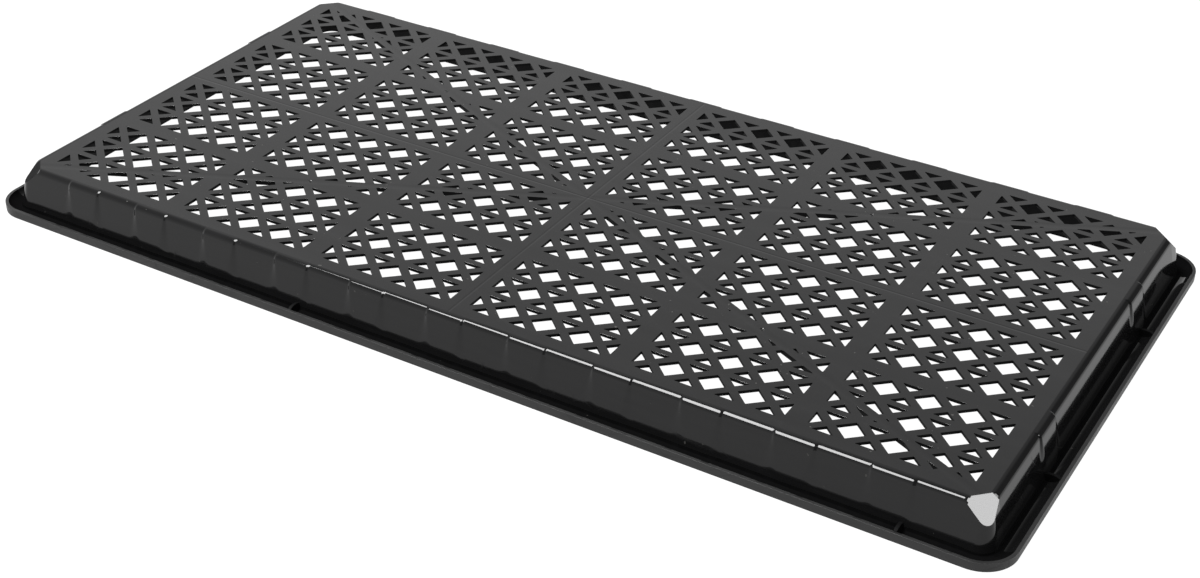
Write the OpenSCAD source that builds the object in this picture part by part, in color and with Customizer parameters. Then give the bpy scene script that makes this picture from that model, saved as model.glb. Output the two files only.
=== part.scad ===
// Mesh-bottom seedling tray for standard 1020 benches, standing on its rim
// with the mesh floor uppermost. It is one moulding: each node is a region
// of it, and the regions meet face to face.
// Millimetres, +Z up. The origin is the middle of the rim's underside,
// +X runs along the length and +Y across the width.

/* [Tray] */
// Length over the rim lip
tray_length = 540; // [480:1:600]
// Width over the rim lip
tray_width = 273; // [240:1:320]
// Height from the rim's underside to the outer face of the floor
tray_height = 23; // [18:0.5:60]
// Thickness of the floor, the walls and the gussets
skin = 1.2; // [1:0.05:1.6]

/* [Walls] */
// Lean of the two end walls, in degrees from upright
end_draft = 14.2; // [3:0.1:18]
// Lean of the two side walls, in degrees from upright
side_draft = 11.4; // [3:0.1:18]
// Outer radius where a wall turns into the floor
shoulder_radius = 2.3; // [2:0.1:3.5]
// Radius of the upright corner between two walls, at the rim
corner_radius = 8.2; // [7.8:0.1:10]
// Flat radius left inside the shoulder at a corner of the floor
floor_corner_radius = 5.2; // [4:0.1:6]
// Length cut off each side of the floor by a corner facet
facet_leg = 8; // [7:0.1:10]
// Slope of a corner facet, in degrees from level
facet_slope = 47.8; // [40:0.1:55]

/* [Stacking pads] */
// How far a pad stands out from the wall between pads
pad_step = 0.75; // [0.4:0.05:0.9]
// Number of pads along a side wall
side_pads = 11; // [3:2:11]
// Distance from the middle of the last pad to the end of a straight side wall
side_pad_margin = 30.4; // [24:0.1:34]
// Width of a pad on a side wall
side_pad_width = 18.9; // [12:0.1:24]
// Distance from the middle of a pad to the end of a straight end wall
end_pad_margin = 54.4; // [40:0.1:64]
// Width of a pad on an end wall
end_pad_width = 17.7; // [12:0.1:24]

/* [Rim] */
// Distance from the foot of the wall to the outside of the lip
rim_overhang = 8.3; // [7:0.1:12]
// Thickness of the flat flange round the foot of the walls
flange = 1.3; // [1:0.05:2]
// Height of the lip above the flange's underside
lip_height = 4.3; // [3.5:0.1:6]
// Thickness of the lip at its crest
lip_width = 1.7; // [1.2:0.1:2.2]
// Level width of the hollow curve between flange and lip
gutter_sweep = 4.65; // [3:0.05:4.8]
// Radius along the outer edges of the lip
lip_edge_radius = 0.4; // [0.2:0.05:0.6]
// Radius along the flange's inner edge, under the wall
root_edge_radius = 0.8; // [0.3:0.05:0.9]

/* [Rim gussets] */
// How high a gusset bows above the lip in the middle
gusset_rise = 0.8; // [0.2:0.1:1.5]
// Place of the front rim's left gusset across its pad, 0 in the middle
front_gusset_left = 0.7; // [-1:0.01:1]
// Place of the front rim's right gusset across its pad
front_gusset_right = 0.86; // [-1:0.01:1]
// Place of the right rim's front gusset across its pad
right_gusset_front = -0.99; // [-1:0.01:1]
// Place of the right rim's back gusset across its pad
right_gusset_back = -0.04; // [-1:0.01:1]

/* [Mesh floor] */
// Mesh panels along the length
panel_columns = 6; // [4:1:6]
// Mesh panels across the width
panel_rows = 4; // [2:1:4]
// Solid band between two panels, measured along the length
cross_band = 10.3; // [8:0.1:14]
// Solid band between two panels, measured across the width
long_band = 9.4; // [8:0.1:14]
// Solid border outside the end panels
end_border = 8.4; // [8:0.1:14]
// Solid border outside the side panels
side_border = 7.9; // [7.9:0.1:14]
// Diamonds in one row of a panel
diamonds = 3; // [2:1:4]
// Rows of diamonds in one panel
diamond_rows = 3; // [2:1:4]
// Width of the bar between two rows
row_bar = 3.5; // [2.5:0.1:4]
// Width of the crossing diagonal bars
diagonal_bar = 3.9; // [2.5:0.1:4.2]
// Width of the flow leaders from the middle to the corners
leader_width = 4.2; // [3:0.1:6]
// How far the flow leaders stand below the underside of the floor
leader_drop = 1; // [0.4:0.1:2]

/* [Hidden] */

over = 1;                     // how far a cutter runs past what it cuts
slice = 0.01;                 // height of a level slice inside a corner hull
bend_steps = 5;               // slices round the shoulder inside a corner hull
round_faces = 64;             // sides of a circle in a drawing
corner_faces = 48;            // sides of a circle in a corner hull

// foot of the walls, where they stand on the flange
foot_x = tray_length / 2 - rim_overhang;
foot_y = tray_width / 2 - rim_overhang;
rim_corner_x = foot_x - corner_radius;
rim_corner_y = foot_y - corner_radius;

// level reach of a leaning wall, from the floor's edge out to its foot
shoulder_z = tray_height - shoulder_radius;
function wall_reach(draft) = shoulder_radius * cos(draft)
    + (shoulder_z + shoulder_radius * sin(draft) - flange) * tan(draft);

// flat of the floor
floor_x = foot_x - wall_reach(end_draft);
floor_y = foot_y - wall_reach(side_draft);
facet_x = floor_x - facet_leg;
facet_y = floor_y - facet_leg;

// one mesh panel and the cells of its lattice
panel_x = (2 * (floor_x - end_border) - (panel_columns - 1) * cross_band) / panel_columns;
panel_y = (2 * (floor_y - side_border) - (panel_rows - 1) * long_band) / panel_rows;
cell_x = (panel_x + row_bar) / (diamonds + 1);
cell_y = (panel_y + row_bar) / diamond_rows;
cell_slant = cell_y / cell_x;
bar_rise = diagonal_bar / 2 * sqrt(1 + cell_slant * cell_slant);
bar_run = bar_rise / cell_slant;
row_half = (cell_y - row_bar) / 2;

// rim section
lip_rise = lip_height - flange;
gutter_radius = (gutter_sweep * gutter_sweep + lip_rise * lip_rise) / (2 * lip_rise);
gutter_flat = rim_overhang - lip_width - gutter_sweep;
root = skin / cos(end_draft);

// pad centres
side_pad_pitch = 2 * (facet_x - side_pad_margin) / (side_pads - 1);
side_pad_at = [for (i = [0 : side_pads - 1]) (i - (side_pads - 1) / 2) * side_pad_pitch];
end_pad_at = [end_pad_margin - facet_y, facet_y - end_pad_margin];
left_gusset_pad = round((side_pads - 1) * 0.3);

front_turn = 270;
right_turn = 0;
back_turn = 90;
left_turn = 180;

// stands a drawing up on one side of the tray and runs it along that side;
// x in the drawing points out of the tray and y points up
module along(turn, reach, from, to) {
    rotate([0, 0, turn])
        translate([reach, from, 0])
            rotate([90, 0, 0])
                translate([0, 0, from - to])
                    linear_extrude(height = to - from)
                        children();
}

// what rounding takes off a square edge at the origin
module edge_waste(radius) {
    translate([-radius, -radius])
        difference() {
            square(radius + over);
            circle(r = radius, $fn = round_faces);
        }
}

// section of a leaning wall; x is measured out from the edge of the floor
module wall_section(draft) {
    reach = wall_reach(draft);
    inner = shoulder_radius - skin;
    far = shoulder_radius + over;
    intersection() {
        translate([0, shoulder_z])
            difference() {
                circle(r = shoulder_radius, $fn = round_faces);
                circle(r = inner, $fn = round_faces);
            }
        polygon([
            [0, shoulder_z],
            [far, shoulder_z + far * tan(draft)],
            [far, shoulder_z + far],
            [0, shoulder_z + far]
        ]);
    }
    polygon([
        [reach - skin / cos(draft), flange],
        [reach, flange],
        [shoulder_radius * cos(draft), shoulder_z + shoulder_radius * sin(draft)],
        [inner * cos(draft), shoulder_z + inner * sin(draft)]
    ]);
}

// the same section where a pad pushes the wall out
module pad_section(draft) {
    translate([pad_step, 0])
        wall_section(draft);
    translate([0, tray_height - skin])
        square([pad_step, skin]);
}

// a whole wall: plain lengths, each lapping one skin into the pads beside it
module leaning_wall(turn, reach, run, draft, pad_at, pad_width) {
    last = len(pad_at);
    for (i = [0 : last]) {
        from = i == 0 ? -run : pad_at[i - 1] + pad_width / 2 - skin;
        to = i == last ? run : pad_at[i] - pad_width / 2 + skin;
        along(turn, reach, from, to)
            wall_section(draft);
    }
    for (at = pad_at) {
        along(turn, reach, at - pad_width / 2, at + pad_width / 2)
            pad_section(draft);
    }
}

module side_wall(turn) {
    difference() {
        leaning_wall(turn, floor_y, facet_x, side_draft, side_pad_at, side_pad_width);
        above_all_facets();
    }
}

module end_wall(turn) {
    difference() {
        leaning_wall(turn, floor_x, facet_y, end_draft, end_pad_at, end_pad_width);
        above_all_facets();
    }
}

// one level slice of a corner, carried back along both walls
module corner_slice(at_x, at_y, radius, level) {
    back = facet_leg + corner_radius;
    for (shift = [[0, 0], [-back, 0], [0, -back]]) {
        translate([at_x + shift[0], at_y + shift[1], level])
            cylinder(h = slice, r = radius, $fn = corner_faces);
    }
}

// a corner filled up to its skin, or to the inside of it
module corner_fill(depth) {
    bend = shoulder_radius - depth;
    lean = (end_draft + side_draft) / 2;
    hull() {
        corner_slice(rim_corner_x + flange * tan(end_draft),
            rim_corner_y + flange * tan(side_draft),
            corner_radius - depth / cos(lean), 0);
        for (step = [0 : bend_steps]) {
            angle = lean + (90 - lean) * step / bend_steps;
            corner_slice(floor_x - floor_corner_radius, floor_y - floor_corner_radius,
                floor_corner_radius + bend * cos(angle),
                shoulder_z + bend * sin(angle) - slice);
        }
    }
}

// everything above the sloping facet, lowered by depth
module above_facet(depth) {
    edge = (facet_x + floor_y) / sqrt(2);
    drop = depth / cos(facet_slope);
    far = corner_radius * 3;
    rotate([0, 0, 45])
        rotate([90, 0, 0])
            linear_extrude(height = tray_width, center = true)
                polygon([
                    [edge - far, tray_height - drop + far * tan(facet_slope)],
                    [edge + far, tray_height - drop - far * tan(facet_slope)],
                    [edge + far, tray_height + far * 2],
                    [edge - far, tray_height + far * 2]
                ]);
}

// the four facets' planes run on a little way into the walls beside them
module above_all_facets() {
    for (flip_x = [0, 1], flip_y = [0, 1]) {
        mirror([flip_x, 0, 0])
            mirror([0, flip_y, 0])
                above_facet(0);
    }
}

// the corner wall at +X +Y, between the two walls, the floor and the flange
module corner_wall() {
    intersection() {
        difference() {
            corner_fill(0);
            difference() {
                corner_fill(skin);
                above_facet(skin);
            }
            above_facet(0);
        }
        translate([0, 0, flange])
            linear_extrude(height = tray_height)
                polygon([
                    [facet_x, floor_y],
                    [floor_x, facet_y],
                    [tray_length, facet_y],
                    [tray_length, tray_width],
                    [facet_x, tray_width]
                ]);
    }
}

// open space over the flange, down to the hollow curve inside the lip
module gutter_space() {
    translate([-root - over, flange])
        square([root + over + gutter_flat, lip_height * 2]);
    translate([gutter_flat, flange + gutter_radius])
        circle(r = gutter_radius, $fn = round_faces);
}

// section of the rim; x is measured out from the foot of the wall
module rim_section() {
    difference() {
        translate([-root, 0])
            square([root + rim_overhang, lip_height]);
        gutter_space();
        translate([rim_overhang, lip_height])
            edge_waste(lip_edge_radius);
        translate([rim_overhang, 0])
            mirror([0, 1])
                edge_waste(lip_edge_radius);
        translate([-root, 0])
            rotate(180)
                edge_waste(root_edge_radius);
    }
}

// what a pad's hollow takes off the inner edge of the flange
module groove_section() {
    translate([-root - over, -over])
        square([pad_step + over, flange + over * 2]);
}

module straight_rim(turn, reach, run, pad_at, pad_width) {
    difference() {
        along(turn, reach, -run, run)
            rim_section();
        for (at = pad_at) {
            along(turn, reach, at - pad_width / 2 + skin, at + pad_width / 2 - skin)
                groove_section();
        }
    }
}

module side_rim(turn) {
    straight_rim(turn, foot_y, rim_corner_x, side_pad_at, side_pad_width);
}

module end_rim(turn) {
    straight_rim(turn, foot_x, rim_corner_y, end_pad_at, end_pad_width);
}

// the rim corner at +X +Y
module rim_corner() {
    translate([rim_corner_x, rim_corner_y, 0])
        rotate_extrude(angle = 90, $fn = round_faces)
            translate([corner_radius, 0])
                rim_section();
}

// section of a gusset, from the face of a pad to the lip
module gusset_section(draft) {
    lip = rim_overhang - lip_width;
    foot = pad_step - lip_rise * tan(draft);
    half = (lip - foot) / 2;
    bow = (half * half + gusset_rise * gusset_rise) / (2 * gusset_rise);
    top = lip_height + gusset_rise;
    intersection() {
        translate([foot + half, top - bow])
            circle(r = bow, $fn = round_faces);
        gutter_space();
        polygon([
            [pad_step, flange],
            [pad_step - (top - flange) * tan(draft), top],
            [rim_overhang, top],
            [rim_overhang, flange]
        ]);
    }
}

// a gusset standing on a pad, at a share of the pad's half width
module gusset(turn, reach, draft, pad_at, pad_width, share) {
    at = pad_at + share * (pad_width - skin) / 2;
    along(turn, reach, at - skin / 2, at + skin / 2)
        gusset_section(draft);
}

module side_gusset(turn, pad, share) {
    gusset(turn, foot_y, side_draft, side_pad_at[pad], side_pad_width, share);
}

module end_gusset(turn, pad, share) {
    gusset(turn, foot_x, end_draft, end_pad_at[pad], end_pad_width, share);
}

// places of the pattern's centres, for a given count and spacing
function spread(count, pitch) = [for (i = [0 : count - 1]) (i - (count - 1) / 2) * pitch];

panel_at_x = spread(panel_columns, panel_x + cross_band);
panel_at_y = spread(panel_rows, panel_y + long_band);
row_at = [for (y = panel_at_y, dy = spread(diamond_rows, cell_y)) y + dy];
diamond_at = [for (x = panel_at_x, dx = spread(diamonds, cell_x)) x + dx];
crossing_at = [for (x = panel_at_x, dx = spread(diamonds + 1, cell_x)) x + dx];

// the diamonds between crossings
module diamonds_cut() {
    half_x = cell_x / 2 - bar_run;
    half_y = cell_y / 2 - bar_rise;
    for (x = diamond_at, y = row_at) {
        translate([x, y])
            polygon([[half_x, 0], [0, half_y], [-half_x, 0], [0, -half_y]]);
    }
}

// the triangles over and under each crossing
module crossing_triangles_cut() {
    half = (row_half - bar_rise) / cell_slant;
    for (x = crossing_at, y = row_at, side = [-1, 1]) {
        translate([x, y])
            polygon([[0, side * bar_rise], [half, side * row_half], [-half, side * row_half]]);
    }
}

// the triangles at both ends of each row
module end_triangles_cut() {
    tip = cell_x * diamonds / 2 + bar_run;
    side_x = panel_x / 2;
    half = (side_x - tip) * cell_slant;
    for (x = panel_at_x, y = row_at, side = [-1, 1]) {
        translate([x, y])
            polygon([[side * tip, 0], [side * side_x, half], [side * side_x, -half]]);
    }
}

// all the openings of the lattice, before the leaders close some of them
module openings() {
    diamonds_cut();
    crossing_triangles_cut();
    end_triangles_cut();
}

// outline of the flat floor, with its four corners cut off
module floor_outline() {
    polygon([
        [facet_x, floor_y], [floor_x, facet_y],
        [floor_x, -facet_y], [facet_x, -floor_y],
        [-facet_x, -floor_y], [-floor_x, -facet_y],
        [-floor_x, facet_y], [-facet_x, floor_y]
    ]);
}

// flat bar from corner facet to corner facet, left solid across the lattice
module leader(side) {
    end = [facet_x, side * (floor_y - facet_leg / 2)];
    rotate(atan2(end[1], end[0]))
        square([2 * norm(end), leader_width], center = true);
}

module mesh_floor() {
    color("#3a3d42")
        translate([0, 0, tray_height - skin])
            linear_extrude(height = skin)
                difference() {
                    floor_outline();
                    difference() {
                        openings();
                        leader(1);
                        leader(-1);
                    }
                }
}

module front_wall() {
    color("#55606b") side_wall(front_turn);
}

module back_wall() {
    color("#55606b") side_wall(back_turn);
}

module left_wall() {
    color("#6b6455") end_wall(left_turn);
}

module right_wall() {
    color("#6b6455") end_wall(right_turn);
}

module front_left_corner() {
    color("#8a5a44") mirror([1, 0, 0]) mirror([0, 1, 0]) corner_wall();
}

module front_right_corner() {
    color("#8a5a44") mirror([0, 1, 0]) corner_wall();
}

module back_left_corner() {
    color("#8a5a44") mirror([1, 0, 0]) corner_wall();
}

module back_right_corner() {
    color("#8a5a44") corner_wall();
}

module front_rim() {
    color("#44708a") side_rim(front_turn);
}

module back_rim() {
    color("#44708a") side_rim(back_turn);
}

module left_rim() {
    color("#448a6b") end_rim(left_turn);
}

module right_rim() {
    color("#448a6b") end_rim(right_turn);
}

module front_left_rim_corner() {
    color("#8a8044") rotate([0, 0, 180]) rim_corner();
}

module front_right_rim_corner() {
    color("#8a8044") mirror([0, 1, 0]) rim_corner();
}

module back_left_rim_corner() {
    color("#8a8044") mirror([1, 0, 0]) rim_corner();
}

module back_right_rim_corner() {
    color("#8a8044") rim_corner();
}

// two webs on each rim; the back and left ones repeat the others turned round
module rim_gussets() {
    color("#7a4a8a") {
        for (half_turn = [0, 180]) {
            side_gusset(front_turn + half_turn, left_gusset_pad, front_gusset_left);
            side_gusset(front_turn + half_turn, side_pads - 1, front_gusset_right);
            end_gusset(right_turn + half_turn, 0, right_gusset_front);
            end_gusset(right_turn + half_turn, 1, right_gusset_back);
        }
    }
}

// the part of the leaders that stands proud on the inner side of the floor
module flow_leaders() {
    color("#5a7a44")
        translate([0, 0, tray_height - skin - leader_drop])
            linear_extrude(height = leader_drop)
                intersection() {
                    floor_outline();
                    union() {
                        leader(1);
                        leader(-1);
                    }
                }
}

mesh_floor();
front_wall();
back_wall();
left_wall();
right_wall();
front_left_corner();
front_right_corner();
back_left_corner();
back_right_corner();
front_rim();
back_rim();
left_rim();
right_rim();
front_left_rim_corner();
front_right_rim_corner();
back_left_rim_corner();
back_right_rim_corner();
rim_gussets();
flow_leaders();
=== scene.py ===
# A mesh-bottom seedling tray, stood on its rim with the mesh floor uppermost.
# All sizes below are millimetres; everything is built in metres, where the CAD puts it.
import math

import bmesh
import bpy
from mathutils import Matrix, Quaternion, Vector
from mathutils.geometry import delaunay_2d_cdt


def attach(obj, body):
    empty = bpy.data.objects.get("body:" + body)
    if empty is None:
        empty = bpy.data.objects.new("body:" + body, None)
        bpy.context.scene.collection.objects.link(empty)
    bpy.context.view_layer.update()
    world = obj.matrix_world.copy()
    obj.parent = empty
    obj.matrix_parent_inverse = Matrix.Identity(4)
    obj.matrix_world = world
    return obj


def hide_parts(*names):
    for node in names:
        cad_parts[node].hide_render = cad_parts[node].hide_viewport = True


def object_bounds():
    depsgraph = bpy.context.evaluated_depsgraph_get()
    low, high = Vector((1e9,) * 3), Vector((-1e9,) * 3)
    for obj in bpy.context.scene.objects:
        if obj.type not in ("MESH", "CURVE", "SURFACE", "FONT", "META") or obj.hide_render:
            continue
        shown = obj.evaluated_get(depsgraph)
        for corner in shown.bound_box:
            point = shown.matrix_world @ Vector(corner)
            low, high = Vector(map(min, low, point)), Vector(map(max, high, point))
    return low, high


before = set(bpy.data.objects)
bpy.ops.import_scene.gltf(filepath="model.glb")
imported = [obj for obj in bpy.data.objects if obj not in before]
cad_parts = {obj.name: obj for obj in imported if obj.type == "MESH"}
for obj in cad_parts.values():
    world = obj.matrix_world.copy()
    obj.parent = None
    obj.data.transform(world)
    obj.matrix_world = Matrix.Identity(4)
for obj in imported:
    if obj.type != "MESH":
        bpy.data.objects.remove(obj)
cadLow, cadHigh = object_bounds()
mm = 0.001
print("frame loaded:", len(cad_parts), "nodes")


traySizes = {
    "length": (cadHigh.x - cadLow.x) / mm,
    "width": (cadHigh.y - cadLow.y) / mm,
    "height": (cadHigh.z - cadLow.z) / mm,
    "skin": 1.5,
    "endDraft": math.radians(13.0),
    "sideDraft": math.radians(11.4),
    "shoulderRadius": 3.2,      # where the floor rolls over into the walls
    "cornerRadius": 8.2,        # of the upright corners, at the foot
    "floorCornerRadius": 0.5,   # of the same corners, up at the floor
    "facetLeg": 6.39,           # how far a facet reaches along each edge of the floor
    "facetSlope": math.tan(math.radians(45.5)),
    "rimOverhang": 8.3,         # from the foot of the wall to the outside of the lip
    "flange": 1.3,
    "sideFlare": 0.7,           # how far a wall sweeps out at its foot
    "endFlare": 0.25,
    "flareStart": 0.65,         # share of the way down the wall where that starts
}

padSizes = {
    "sideCount": 11,
    "sideMargin": 31.74,   # from the last pad's middle to the end of a straight side
    "sideWidth": 18.9,
    "endMargin": 55.27,
    "endWidth": 17.7,
    # how far the pads stand out, and half the run over which their edges roll in,
    # each at the shoulder and at the foot of the wall
    "sideStep": (0.6, 0.2),
    "sideSoftness": (0.8, 5.0),
    "endStep": (0.75, 0.45),
    "endSoftness": (0.5, 5.0),
}

shoulderZ = traySizes["height"] - traySizes["shoulderRadius"]
footX = traySizes["length"] / 2 - traySizes["rimOverhang"]
footY = traySizes["width"] / 2 - traySizes["rimOverhang"]


def wallReach(draft):
    # level distance from the edge of the floor out to the foot of the wall
    r = traySizes["shoulderRadius"]
    rise = shoulderZ + r * math.sin(draft) - traySizes["flange"]
    return r * math.cos(draft) + rise * math.tan(draft)


floorX = footX - wallReach(traySizes["endDraft"])
floorY = footY - wallReach(traySizes["sideDraft"])
facetX = floorX - traySizes["facetLeg"]
facetY = floorY - traySizes["facetLeg"]
facetSum = facetX + floorY
facetFall = traySizes["facetSlope"] / math.sqrt(2)
topCentre = (floorX - traySizes["floorCornerRadius"], floorY - traySizes["floorCornerRadius"])
rimCentre = (footX - traySizes["cornerRadius"], footY - traySizes["cornerRadius"])


weldDistance = 0.002 * mm
# in degrees; an edge that turns further than this stays sharp
sharpAngles = {"floor": 30, "wall": 65, "corner": 18, "rim": 50, "leader": 50, "gusset": 40}


def addPiece(name, points, faces, node, sharpAngle):
    # one mesh piece in metres that rides on the tray and stands for its CAD node
    mesh = bpy.data.meshes.new(name)
    mesh.from_pydata([(x * mm, y * mm, z * mm) for x, y, z in points], [], faces)
    mesh.update()
    bm = bmesh.new()
    bm.from_mesh(mesh)
    bmesh.ops.remove_doubles(bm, verts=bm.verts, dist=weldDistance)
    bmesh.ops.dissolve_degenerate(bm, edges=bm.edges, dist=weldDistance / 2)
    bm.to_mesh(mesh)
    bm.free()
    piece = standPiece(name, mesh, node, sharpAngle)
    weigh = piece.modifiers.new("flatFacesLead", "WEIGHTED_NORMAL")
    weigh.keep_sharp = True
    return piece


def standPiece(name, mesh, node, sharpAngle):
    # puts a finished mesh on the tray, smooth except where it turns sharply
    for polygon in mesh.polygons:
        polygon.use_smooth = True
    mesh.set_sharp_from_angle(angle=math.radians(sharpAngle))
    piece = bpy.data.objects.new(name, mesh)
    bpy.context.scene.collection.objects.link(piece)
    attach(piece, "root")
    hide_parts(node)
    return piece


def coatPiece(piece, *names):
    # gives a piece its plastics, in the order of the faces' material numbers
    for name in names:
        piece.data.materials.append(plastics[name])


cameraSettings = {
    "place": (0.41586, -0.69751, 0.48472),
    "aim": (0.04787, -0.06875, 0.023),
    "roll": math.radians(0.945),
    "lens": 56.86,
    "sensor": 36,
    "nearest": 0.01,
}


def makeCamera():
    data = bpy.data.cameras.new("studioCamera")
    data.sensor_width = cameraSettings["sensor"]
    data.lens = cameraSettings["lens"]
    data.clip_start = cameraSettings["nearest"]
    camera = bpy.data.objects.new("studioCamera", data)
    place = Vector(cameraSettings["place"])
    look = (Vector(cameraSettings["aim"]) - place).to_track_quat("-Z", "Y")
    camera.rotation_mode = "QUATERNION"
    camera.rotation_quaternion = look @ Quaternion((0, 0, 1), cameraSettings["roll"])
    camera.location = place
    bpy.context.scene.collection.objects.link(camera)
    bpy.context.scene.camera = camera


makeCamera()
print("camera set")


studioSettings = {
    "floorColor": (0.05, 0.05, 0.05),
    "floorGlow": 1.0,
    "floorRoughness": 0.95,
    "floorShine": 0.1,
    "floorReach": 30.0,
    "floorDrop": 0.0002,       # keeps it clear of the rim's underside
    "skyLow": 1.23,            # brightness of the room at the horizon, and overhead
    "skyHigh": 0.27,
    "skyDim": 0.2,             # what is left of it to the right
    "skyRight": (0.28, -0.1),  # it dims between these shares of +X
    "overheadPlace": (-0.67, -0.45, 2.2),
    "overheadSize": (1.6, 0.86),   # along world Y, then along world X
    "overheadPower": 117,
    "sidePlace": (1.816, -0.51, 1.516),
    "sideSize": (0.5, 0.5),
    "sidePower": 19,
}


def feed(links, node, values):
    # sets a node's inputs, each from another node's output or as a plain value
    for key, value in values.items():
        if isinstance(value, bpy.types.NodeSocket):
            links.new(value, node.inputs[key])
        elif value is not None:
            node.inputs[key].default_value = value


def mathNode(nodes, links, operation, first, second=None, clamp=False):
    node = nodes.new("ShaderNodeMath")
    node.operation = operation
    node.use_clamp = clamp
    feed(links, node, {0: first, 1: second})
    return node.outputs[0]


def noiseNode(nodes, links, vector, scale, detail):
    node = nodes.new("ShaderNodeTexNoise")
    feed(links, node, {"Vector": vector, "Scale": scale, "Detail": detail})
    return node.outputs["Fac"]


def stretchNode(nodes, links, vector, stretch):
    node = nodes.new("ShaderNodeVectorMath")
    node.operation = "MULTIPLY"
    feed(links, node, {0: vector, 1: stretch})
    return node.outputs[0]


def areaLight(name, place, size, power):
    # a soft light that faces the middle of the tray
    data = bpy.data.lights.new(name, "AREA")
    data.shape = "RECTANGLE"
    data.size, data.size_y = size
    data.energy = power
    light = bpy.data.objects.new(name, data)
    light.location = place
    light.rotation_mode = "QUATERNION"
    light.rotation_quaternion = (-Vector(place)).to_track_quat("-Z", "Y")
    bpy.context.scene.collection.objects.link(light)


def makeSky():
    # a soft room, palest low down, and dim to the right
    world = bpy.data.worlds.new("studioSky")
    world.use_nodes = True
    nodes, links = world.node_tree.nodes, world.node_tree.links
    direction = nodes.new("ShaderNodeTexCoord")
    axes = nodes.new("ShaderNodeSeparateXYZ")
    links.new(direction.outputs["Generated"], axes.inputs[0])

    def ramp(axis, ends, values, smooth):
        node = nodes.new("ShaderNodeMapRange")
        node.interpolation_type = "SMOOTHSTEP" if smooth else "LINEAR"
        feed(links, node, {"Value": axes.outputs[axis], "From Min": ends[0],
                           "From Max": ends[1], "To Min": values[0], "To Max": values[1]})
        return node.outputs["Result"]

    look = studioSettings
    height = ramp("Z", (0, 1), (look["skyLow"], look["skyHigh"]), False)
    right = ramp("X", look["skyRight"], (look["skyDim"], 1), True)
    level = mathNode(nodes, links, "MULTIPLY", height, right)
    feed(links, nodes["Background"], {"Strength": level, "Color": (1, 1, 1, 1)})
    bpy.context.scene.world = world


def makeStudio():
    mesh = bpy.data.meshes.new("studioFloor")
    reach = studioSettings["floorReach"]
    mesh.from_pydata([(-reach, -reach, 0), (reach, -reach, 0), (reach, reach, 0),
                      (-reach, reach, 0)], [], [(0, 1, 2, 3)])
    ground = bpy.data.objects.new("studioFloor", mesh)
    ground.location.z = -studioSettings["floorDrop"]
    bpy.context.scene.collection.objects.link(ground)
    paper = bpy.data.materials.new("studioPaper")
    paper.use_nodes = True
    feed(paper.node_tree.links, paper.node_tree.nodes["Principled BSDF"], {
        "Base Color": (*studioSettings["floorColor"], 1),
        "Roughness": studioSettings["floorRoughness"],
        "Specular IOR Level": studioSettings["floorShine"],
        "Emission Color": (1, 1, 1, 1),
        "Emission Strength": studioSettings["floorGlow"],
    })
    mesh.materials.append(paper)

    makeSky()
    bpy.context.scene.view_settings.view_transform = "Standard"

    areaLight("overheadSoftbox", studioSettings["overheadPlace"],
              studioSettings["overheadSize"], studioSettings["overheadPower"])
    areaLight("sideSoftbox", studioSettings["sidePlace"],
              studioSettings["sideSize"], studioSettings["sidePower"])


makeStudio()
print("studio set")


def newGroup(name, inputs, outputs):
    # an empty shader node group with its sockets
    group = bpy.data.node_groups.new(name, "ShaderNodeTree")
    for label, kind, value in inputs:
        socket = group.interface.new_socket(name=label, in_out="INPUT", socket_type=kind)
        if value is not None:
            socket.default_value = value
    for label, kind in outputs:
        group.interface.new_socket(name=label, in_out="OUTPUT", socket_type=kind)
    nodes = group.nodes
    start = nodes.new("NodeGroupInput")
    end = nodes.new("NodeGroupOutput")
    return group, nodes, group.links, start, end


def makeMouldGrain():
    # the fine unevenness a polished steel mould leaves, as a height
    group, nodes, links, start, end = newGroup(
        "mouldGrain",
        [("Vector", "NodeSocketVector", None), ("Grain Scale", "NodeSocketFloat", 900.0),
         ("Ripple Scale", "NodeSocketFloat", 40.0), ("Ripple Share", "NodeSocketFloat", 0.5)],
        [("Height", "NodeSocketFloat")])
    given = start.outputs
    grain = noiseNode(nodes, links, given["Vector"], given["Grain Scale"], 3)
    ripple = noiseNode(nodes, links, given["Vector"], given["Ripple Scale"], 2)
    mix = nodes.new("ShaderNodeMix")
    feed(links, mix, {"Factor": given["Ripple Share"], "A": grain, "B": ripple})
    links.new(mix.outputs["Result"], end.inputs["Height"])
    return group


def makeFlowMarks():
    # faint streaks drawn out along one direction, where the melt ran
    group, nodes, links, start, end = newGroup(
        "flowMarks",
        [("Vector", "NodeSocketVector", None), ("Stretch", "NodeSocketVector", (12, 260, 260)),
         ("Contrast", "NodeSocketFloat", 2.0)],
        [("Mask", "NodeSocketFloat")])
    drawn = stretchNode(nodes, links, start.outputs["Vector"], start.outputs["Stretch"])
    streak = noiseNode(nodes, links, drawn, 1, 4)
    centred = mathNode(nodes, links, "SUBTRACT", streak, 0.5)
    scaled = mathNode(nodes, links, "MULTIPLY", centred, start.outputs["Contrast"])
    shifted = mathNode(nodes, links, "ADD", scaled, 0.5, clamp=True)
    links.new(shifted, end.inputs["Mask"])
    return group


wearSettings = {
    "scratchTurns": (0.5, 2.1),   # the two ways the scratches run, in radians
    "scratchStretch": (0.12, 1, 1),
    "scratchDullness": 0.08,
    "patchScale": 18,             # the scratches keep to patches
    "patchLevel": 0.56,
    "dustColor": (0.05, 0.048, 0.045),
    "dustShare": 0.5,
    "dustDullness": 0.35,
}


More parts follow.
